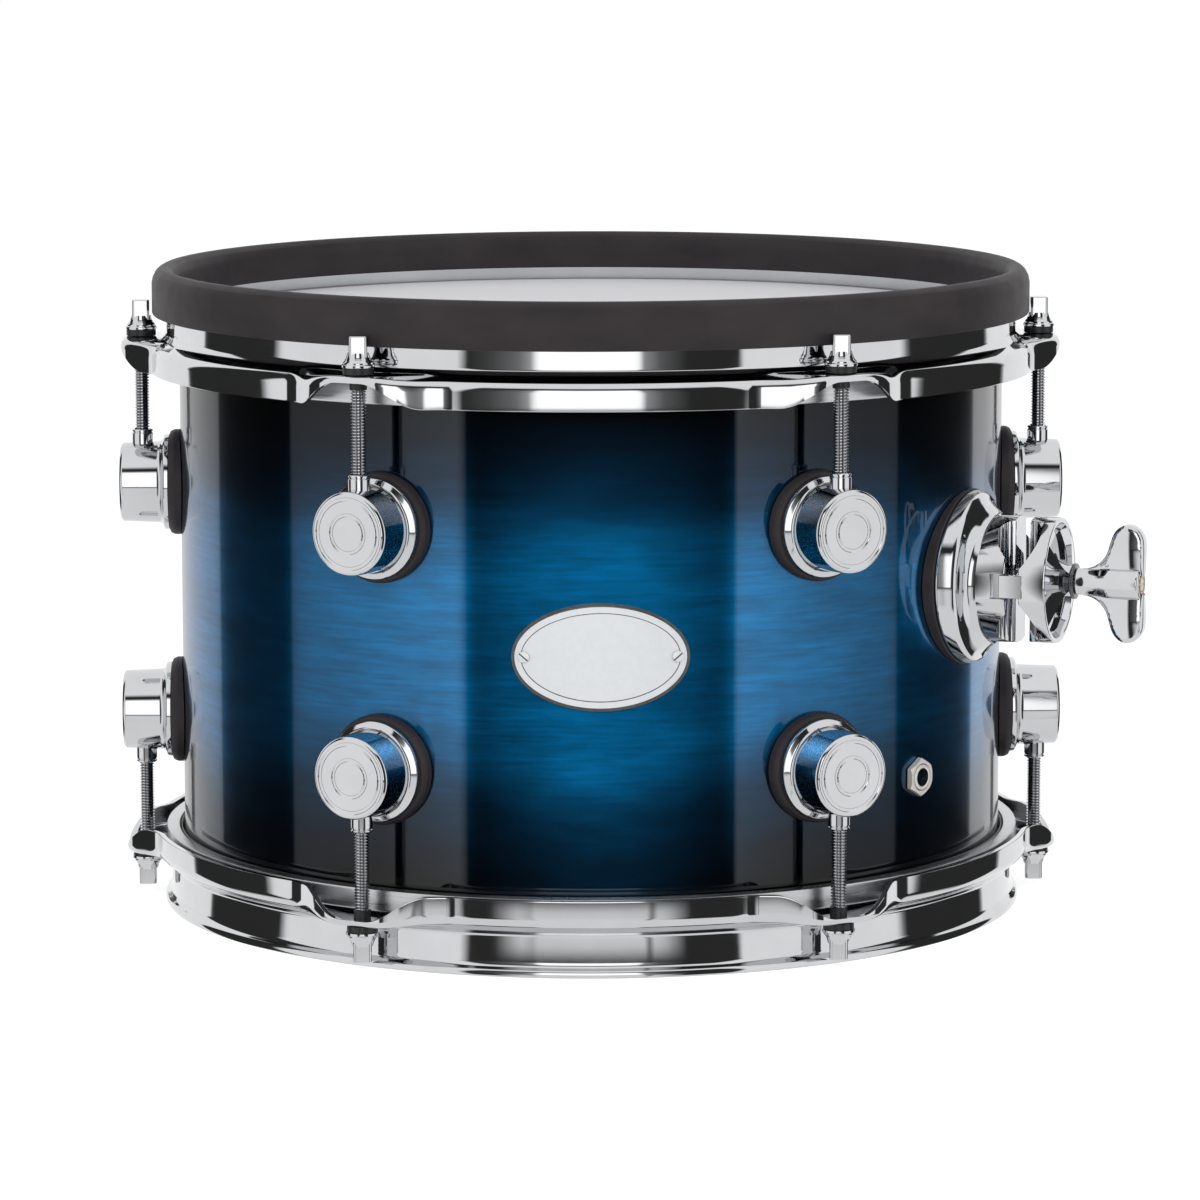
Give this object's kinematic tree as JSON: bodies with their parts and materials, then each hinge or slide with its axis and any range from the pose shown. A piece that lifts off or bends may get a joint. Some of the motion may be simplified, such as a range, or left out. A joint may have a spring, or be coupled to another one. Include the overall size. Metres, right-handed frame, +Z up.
{
  "type": "tom tom drum",
  "caption": "Short round mesh-head tom with a wooden shell, steel hoops with swept ears, tension rods, round lugs, a rubber rim, a socket and a holder clamp.",
  "frame": {"origin": "centre of the upper face of the mesh head, the playing surface", "axes": "+Z up along the shell's axis, out of the playing surface; -Y towards the badge; +X towards the side with the clamp"},
  "size_m": [0.3682, 0.325, 0.2341],
  "materials": {
    "shell_lacquer": "maple plies under gloss lacquer, deep blue fading to black at both ends",
    "mesh_cloth": "fine white woven mesh, stretched",
    "black_film": "black film head, satin",
    "head_aluminium": "rolled aluminium, satin",
    "hoop_chrome": "chrome-plated steel",
    "rim_rubber": "black rubber, matt",
    "lug_chrome": "chrome-plated die casting",
    "foot_rubber": "black rubber",
    "rod_chrome": "chrome-plated steel",
    "badge_enamel": "bare silver-white plate with a dark edge",
    "jack_nickel": "nickel-plated brass",
    "black_nylon": "black nylon",
    "bracket_chrome": "chrome-plated die casting",
    "bracket_steel": "zinc-plated steel",
    "trigger_foam": "dark open-cell foam"
  },
  "bodies": {
    "drum": {"shell": "shell_lacquer", "batter_head": "mesh_cloth", "batter_head_ring": "head_aluminium", "batter_hoop": "hoop_chrome", "rim_rubber": "rim_rubber", "resonant_head": "black_film", "resonant_head_ring": "head_aluminium", "resonant_hoop": "hoop_chrome", "lug_upper_1": "lug_chrome", "lug_lower_1": "lug_chrome", "lug_upper_2": "lug_chrome", "lug_lower_2": "lug_chrome", "lug_upper_3": "lug_chrome", "lug_lower_3": "lug_chrome", "lug_upper_4": "lug_chrome", "lug_lower_4": "lug_chrome", "lug_upper_5": "lug_chrome", "lug_lower_5": "lug_chrome", "lug_upper_6": "lug_chrome", "lug_lower_6": "lug_chrome", "lug_foot_upper_1": "foot_rubber", "lug_foot_lower_1": "foot_rubber", "lug_foot_upper_2": "foot_rubber", "lug_foot_lower_2": "foot_rubber", "lug_foot_upper_3": "foot_rubber", "lug_foot_lower_3": "foot_rubber", "lug_foot_upper_4": "foot_rubber", "lug_foot_lower_4": "foot_rubber", "lug_foot_upper_5": "foot_rubber", "lug_foot_lower_5": "foot_rubber", "lug_foot_upper_6": "foot_rubber", "lug_foot_lower_6": "foot_rubber", "badge": "badge_enamel", "jack_socket": "black_nylon", "jack_nut": "jack_nickel", "bracket_gasket": "foot_rubber", "bracket_base": "bracket_chrome", "bracket_plate": "bracket_steel", "trigger_bar": "head_aluminium", "sensor_plate": "bracket_steel", "foam_cone": "trigger_foam", "rim_sensor": "black_nylon"},
    "jaw": {"bracket_jaw": "bracket_chrome", "clamp_washer": "bracket_steel"},
    "wing": {"wing_screw": "bracket_chrome"},
    "rod_upper_1": {"tension_rod_upper_1": "rod_chrome"},
    "rod_lower_1": {"tension_rod_lower_1": "rod_chrome"},
    "rod_upper_2": {"tension_rod_upper_2": "rod_chrome"},
    "rod_lower_2": {"tension_rod_lower_2": "rod_chrome"},
    "rod_upper_3": {"tension_rod_upper_3": "rod_chrome"},
    "rod_lower_3": {"tension_rod_lower_3": "rod_chrome"},
    "rod_upper_4": {"tension_rod_upper_4": "rod_chrome"},
    "rod_lower_4": {"tension_rod_lower_4": "rod_chrome"},
    "rod_upper_5": {"tension_rod_upper_5": "rod_chrome"},
    "rod_lower_5": {"tension_rod_lower_5": "rod_chrome"},
    "rod_upper_6": {"tension_rod_upper_6": "rod_chrome"},
    "rod_lower_6": {"tension_rod_lower_6": "rod_chrome"}
  },
  "joints": [
    {"name": "rod_upper_1_turn", "type": "hinge", "parent": "drum", "child": "rod_upper_1", "pos_m": [0.08255, -0.14298, -0.0076], "axis": [0, 0, 1], "continuous": true},
    {"name": "rod_lower_1_turn", "type": "hinge", "parent": "drum", "child": "rod_lower_1", "pos_m": [0.08255, -0.14298, -0.1987], "axis": [0, 0, -1], "continuous": true},
    {"name": "rod_upper_2_turn", "type": "hinge", "parent": "drum", "child": "rod_upper_2", "pos_m": [0.1651, 0, -0.0076], "axis": [0, 0, 1], "continuous": true},
    {"name": "rod_lower_2_turn", "type": "hinge", "parent": "drum", "child": "rod_lower_2", "pos_m": [0.1651, 0, -0.1987], "axis": [0, 0, -1], "continuous": true},
    {"name": "rod_upper_3_turn", "type": "hinge", "parent": "drum", "child": "rod_upper_3", "pos_m": [0.08255, 0.14298, -0.0076], "axis": [0, 0, 1], "continuous": true},
    {"name": "rod_lower_3_turn", "type": "hinge", "parent": "drum", "child": "rod_lower_3", "pos_m": [0.08255, 0.14298, -0.1987], "axis": [0, 0, -1], "continuous": true},
    {"name": "rod_upper_4_turn", "type": "hinge", "parent": "drum", "child": "rod_upper_4", "pos_m": [-0.08255, 0.14298, -0.0076], "axis": [0, 0, 1], "continuous": true},
    {"name": "rod_lower_4_turn", "type": "hinge", "parent": "drum", "child": "rod_lower_4", "pos_m": [-0.08255, 0.14298, -0.1987], "axis": [0, 0, -1], "continuous": true},
    {"name": "rod_upper_5_turn", "type": "hinge", "parent": "drum", "child": "rod_upper_5", "pos_m": [-0.1651, 0, -0.0076], "axis": [0, 0, 1], "continuous": true},
    {"name": "rod_lower_5_turn", "type": "hinge", "parent": "drum", "child": "rod_lower_5", "pos_m": [-0.1651, 0, -0.1987], "axis": [0, 0, -1], "continuous": true},
    {"name": "rod_upper_6_turn", "type": "hinge", "parent": "drum", "child": "rod_upper_6", "pos_m": [-0.08255, -0.14298, -0.0076], "axis": [0, 0, 1], "continuous": true},
    {"name": "rod_lower_6_turn", "type": "hinge", "parent": "drum", "child": "rod_lower_6", "pos_m": [-0.08255, -0.14298, -0.1987], "axis": [0, 0, -1], "continuous": true},
    {"name": "jaw_slide", "type": "slide", "parent": "drum", "child": "jaw", "axis": [0.9336, -0.3584, 0], "range_m": [-0.003, 0.005]},
    {"name": "wing_turn", "type": "hinge", "parent": "jaw", "child": "wing", "pos_m": [0.17004, -0.08639, -0.088], "axis": [0.9336, -0.3584, 0], "range_deg": [-864, 1440]}
  ],
  "couplings": [
    {"joint": "wing_turn", "follows": "jaw_slide", "rad_per_m": 5026.5}
  ]
}
